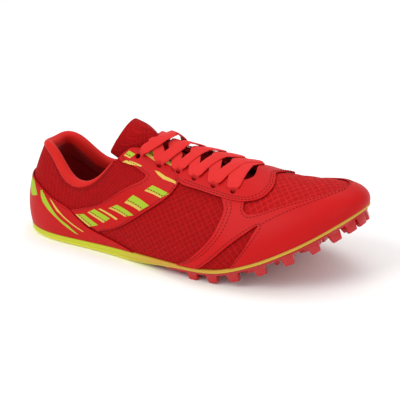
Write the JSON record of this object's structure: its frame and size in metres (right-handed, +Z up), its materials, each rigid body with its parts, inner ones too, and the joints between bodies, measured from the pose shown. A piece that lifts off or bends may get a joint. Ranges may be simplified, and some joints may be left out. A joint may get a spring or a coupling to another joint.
{
  "type": "track spike shoe",
  "caption": "Low running shoe for track sprinting: mesh upper with raised overlays, laced throat, thin foam sole and a stiff forefoot plate with lugs and spike seats.",
  "frame": {"origin": "bottom centre of the shoe's bounding box, on the floor plane that the heel tread and the ball lugs stand on", "axes": "+X from the heel to the toe, +Y to the big toe side, which is the wearer's left on this right shoe, +Z up"},
  "size_m": [0.2858, 0.1, 0.0965],
  "materials": {
    "mesh": "open knitted mesh, matt",
    "overlay": "smooth synthetic leather, satin",
    "lining": "smooth lining textile, satin",
    "lace": "flat woven lace, matt",
    "foam": "moulded EVA foam",
    "plate": "injection moulded TPU, glossy",
    "steel": "turned steel, bright",
    "sockliner": "brushed textile"
  },
  "bodies": {
    "root": {"upper": "mesh", "heel_counter": "overlay", "toe_cap": "overlay", "side_sash_lateral": "overlay", "side_sash_medial": "overlay", "eyestay": "overlay", "collar_lining": "lining", "tongue": "mesh", "insole": "sockliner", "midsole": "foam", "spike_plate": "plate", "lace": "lace", "spike_seat_1": "steel", "spike_seat_2": "steel", "spike_seat_3": "steel", "spike_seat_4": "steel", "spike_seat_5": "steel", "spike_seat_6": "steel", "spike_seat_7": "steel"}
  },
  "joints": []
}
